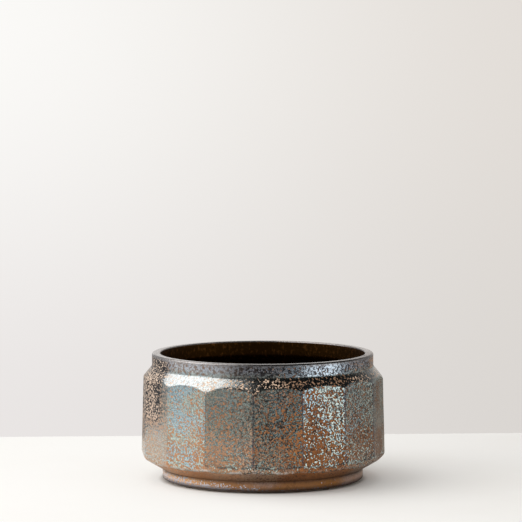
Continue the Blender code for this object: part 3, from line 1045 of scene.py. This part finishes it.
def make_stopper():
    def gripped(radius, height, angle):
        """Shallow finger flutes round the side of the knob."""
        on_knob = height > KNOB_BASE - KNOB_SLACK
        side = ramp(radius, KNOB_RADIUS - KNOB_EDGE, KNOB_RADIUS) * on_knob
        grown = radius - GRIP_DEPTH * side * (0.5 + 0.5 * np.cos(GRIP_COUNT * angle))
        return round_axis(grown, height + SEAT_LEVEL, angle)

    mesh = turned_mesh("ribbed_stopper", stopper_path(), STOPPER_COLUMNS, gripped)
    stopper = add_object("ribbed_stopper", mesh, rubber_material())
    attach(stopper, "stopper")
    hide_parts("drain_stopper")


def felt_material():
    """Pressed wool felt: matted fibres of two browns."""
    material, nodes = new_material("brown_felt")
    place = nodes.add("TexCoord", {}).outputs["Object"]
    bent = nodes.warped(place, 700.0, 0.0012)
    fibres = nodes.noise(nodes.stretched(bent, (1.0, 0.25, 1.0)), 5200.0, 3.0, 0.6)
    crossed = nodes.noise(nodes.stretched(bent, (0.25, 1.0, 1.0)), 5200.0, 3.0, 0.6)
    matted = nodes.larger(fibres, crossed)
    colour = nodes.blend(nodes.fade(matted, 0.42, 0.72), FELT_DARK, FELT_PALE)
    bump = nodes.add("Bump", {"Height": matted, "Strength": 0.8, "Distance": 0.0002})
    shader = nodes.add("BsdfPrincipled", {
        "Base Color": colour,
        "Roughness": 0.95,
        "Sheen Weight": 0.4,
        "Normal": bump.outputs["Normal"],
    })
    surface(nodes, shader.outputs["BSDF"])
    return material


def make_pads():
    material = felt_material()
    for index in range(PAD_COUNT):
        low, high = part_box(f"base_pad_{index + 1}")
        middle = (low + high) / 2
        reach = (high.x - low.x) / 2

        def fuzzy(radius, height, angle):
            """Ragged rim of cut felt."""
            rings = np.stack([radius * np.cos(angle), radius * np.sin(angle), height], axis=2)
            seeds = [Vector(p) * FUZZ_SCALE + middle * FUZZ_SHIFT for p in rings.reshape(-1, 3)]
            rough = np.array([noise.noise(seed) for seed in seeds]).reshape(radius.shape)
            grown = radius - PAD_FUZZ * (0.5 + 0.5 * rough) * radius / reach
            across, along = grown * np.cos(angle), grown * np.sin(angle)
            return np.stack([middle.x + across, middle.y + along, height], axis=2)

        corners = [
            ((0.0, STAND), 0.0),
            ((reach, STAND), PAD_EDGE),
            ((reach, low.z), PAD_EDGE),
            ((0.0, low.z), 0.0),
        ]
        path = filled_in(rounded_path(corners), PAD_STEP)
        mesh = turned_mesh(f"felt_pad_{index + 1}", path, PAD_COLUMNS, fuzzy)
        pad = add_object(f"felt_pad_{index + 1}", mesh, material)
        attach(pad, "pot")
        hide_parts(f"base_pad_{index + 1}")


def make_camera():
    data = bpy.data.cameras.new("camera")
    data.sensor_width = SENSOR_WIDTH
    data.lens = FOCAL_PIXELS * SENSOR_WIDTH / IMAGE_SIDE
    camera = bpy.data.objects.new("camera", data)
    bpy.context.scene.collection.objects.link(camera)
    camera.location = (
        CAMERA_DISTANCE * math.sin(CAMERA_AZIMUTH),
        -CAMERA_DISTANCE * math.cos(CAMERA_AZIMUTH),
        CAMERA_HEIGHT,
    )
    yaw = math.atan((AXIS_PIXEL - IMAGE_SIDE / 2) / FOCAL_PIXELS)
    camera.rotation_euler = (math.pi / 2 - CAMERA_PITCH, 0.0, CAMERA_AZIMUTH + yaw)
    bpy.context.scene.camera = camera


def floor_material():
    """Pale floor with painted light: for the camera it partly glows, most on the left and not under the foot,
    which lightens the pot's shadow; far from the pot, the glaze mirrors the studio instead of it.
    """
    material, nodes = new_material("pale_floor")
    place = nodes.add("TexCoord", {}).outputs["Object"]
    cloud = nodes.noise(place, 5.0, 5.0)
    colour = nodes.blend(nodes.fade(cloud, 0.35, 0.7), FLOOR_PALE, FLOOR_WARM)
    diffuse = nodes.add("BsdfDiffuse", {"Color": colour}).outputs[0]
    lit = nodes.add("Emission", {"Color": FLOOR_LIT, "Strength": 1.0}).outputs[0]
    clear = nodes.add("BsdfTransparent", {}).outputs[0]
    ray = nodes.add("LightPath", {}).outputs
    across = nodes.add("SeparateXYZ", {0: place}).outputs["X"]
    # painted light: share of glow, most on the left, none under the foot
    lit_share = nodes.times(
        ray["Is Camera Ray"],
        nodes.fade(across, -FLOOR_LIT_SIDE, FLOOR_LIT_SIDE, 0.6, 0.15),
        nodes.fade(nodes.length(place), FLOOR_LIT_START, FLOOR_LIT_FULL),
    )
    top = nodes.add("MixShader", {0: lit_share, 1: diffuse, 2: lit}).outputs[0]
    spread = nodes.stretched(nodes.vector("ADD", place, MIRRORED_SHIFT), MIRRORED_STRETCH)
    far = nodes.fade(nodes.length(spread), FLOOR_MIRRORED, FLOOR_UNSEEN)
    unseen = nodes.times(ray["Is Glossy Ray"], far)
    surface(nodes, nodes.add("MixShader", {0: unseen, 1: top, 2: clear}).outputs[0])
    return material


def make_floor():
    corners = [
        (-FLOOR_SIDE, -FLOOR_FRONT, 0.0),
        (FLOOR_SIDE, -FLOOR_FRONT, 0.0),
        (FLOOR_SIDE, FLOOR_BACK, 0.0),
        (-FLOOR_SIDE, FLOOR_BACK, 0.0),
    ]
    mesh = bpy.data.meshes.new("floor")
    mesh.from_pydata(corners, [], [(0, 1, 2, 3)])
    floor = add_object("floor", mesh, floor_material())
    floor.rotation_euler.z = FLOOR_TURN


def direction(azimuth, elevation):
    """Unit vector; azimuth 0 is towards the camera, positive to its right."""
    turn = azimuth + CAMERA_AZIMUTH
    flat = math.cos(elevation)
    return Vector((flat * math.sin(turn), -flat * math.cos(turn), math.sin(elevation)))


def add_softbox(name, azimuth, elevation, distance, width, height, power):
    """Area lamp that faces the pot, at an azimuth and elevation in degrees."""
    data = bpy.data.lights.new(name, "AREA")
    data.shape = "RECTANGLE"
    data.size = width
    data.size_y = height
    data.energy = power
    lamp = bpy.data.objects.new(name, data)
    bpy.context.scene.collection.objects.link(lamp)
    toward = direction(math.radians(azimuth), math.radians(elevation))
    lamp.location = Vector(LAMP_TARGET) + toward * distance
    lamp.rotation_euler = toward.to_track_quat("Z", "Y").to_euler()
    lamp.visible_camera = False
    return lamp


def backdrop_colour(nodes, sideways, up):
    """Pale backdrop with painted shade: a little darker to the right and low down."""
    side = nodes.fade(sideways, -BACKDROP_SIDE, BACKDROP_SIDE)
    low = nodes.blend(side, BACKDROP_LOW_LEFT, BACKDROP_LOW_RIGHT)
    high = nodes.blend(side, BACKDROP_HIGH_LEFT, BACKDROP_HIGH_RIGHT)
    backdrop = nodes.blend(nodes.fade(up, BACKDROP_BASE, BACKDROP_TOP), low, high)
    foot = nodes.fade(up, BACKDROP_FOOT_BASE, BACKDROP_FOOT_TOP)
    return nodes.blend(foot, BACKDROP_FOOT, backdrop)


def studio_light(nodes, sideways, behind, leftward, up):
    """Brightness of the studio in reflections: brighter to the left and the right, dim above."""
    studio = nodes.times(
        nodes.fade(leftward, 0.50, 0.90, 0.0, 0.24),
        nodes.fade(behind, 0.44, 0.50, 1.0, 0.0),
        nodes.fade(up, STUDIO_BASE, -0.115, 2.0, 1.0),
    )
    studio = nodes.plus(studio, nodes.fade(up, STUDIO_BASE, -0.095, 0.045, 0.33))
    studio = nodes.plus(studio, nodes.fade(sideways, 0.55, 0.95, 0.0, 0.16))
    return nodes.times(studio, nodes.fade(up, 0.25, 0.65, 1.0, 0.06))


def make_world():
    """Pale backdrop for the camera, even soft light for matt surfaces, a dimmer studio in reflections."""
    world = bpy.data.worlds.new("world")
    bpy.context.scene.world = world
    world.use_nodes = True
    world.node_tree.nodes.clear()
    nodes = Nodes(world.node_tree)
    ray = nodes.add("LightPath", {}).outputs
    toward = nodes.add("TexCoord", {}).outputs["Generated"]
    sideways = nodes.dot(toward, direction(math.pi / 2, 0.0))
    behind = nodes.dot(toward, direction(math.pi, 0.0))
    leftward = nodes.dot(toward, direction(STUDIO_LEFT, 0.0))
    up = nodes.add("SeparateXYZ", {0: toward}).outputs["Z"]

    even = nodes.plus(nodes.fade(behind, -0.7, 0.7, 0.08, 0.25), nodes.fade(up, 0.45, 0.95, 0.0, 0.90))
    studio = studio_light(nodes, sideways, behind, leftward, up)
    dimming = nodes.times(ray["Is Glossy Ray"], nodes.math("SUBTRACT", studio, even))
    light = nodes.plus(dimming, even)
    light = nodes.add("CombineColor", {0: light, 1: light, 2: light}).outputs[0]
    mirrored = nodes.times(
        nodes.fade(behind, 0.93, 0.98),
        nodes.fade(up, -0.03, 0.02),
        ray["Is Glossy Ray"],
    )
    shown = nodes.larger(nodes.larger(ray["Is Camera Ray"], ray["Is Transmission Ray"]), mirrored)
    colour = nodes.blend(shown, light, backdrop_colour(nodes, sideways, up))
    background = nodes.add("Background", {"Color": colour, "Strength": 1.0})
    nodes.add("OutputWorld", {"Surface": background.outputs[0]})


def make_lights():
    make_world()
    add_softbox("key_softbox", azimuth=-93.0, elevation=54.0, distance=1.6, width=1.8, height=1.5, power=12.2)
    add_softbox("right_card", azimuth=62.0, elevation=7.0, distance=1.7, width=1.2, height=1.1, power=3.5)
    fill = add_softbox(
        "left_window", azimuth=-66.0, elevation=17.0, distance=1.8, width=2.0, height=1.2, power=16.0,
    )
    fill.visible_glossy = False


bpy.context.scene.view_settings.view_transform = "Standard"
make_body()
make_stopper()
make_pads()
make_camera()
make_floor()
make_lights()
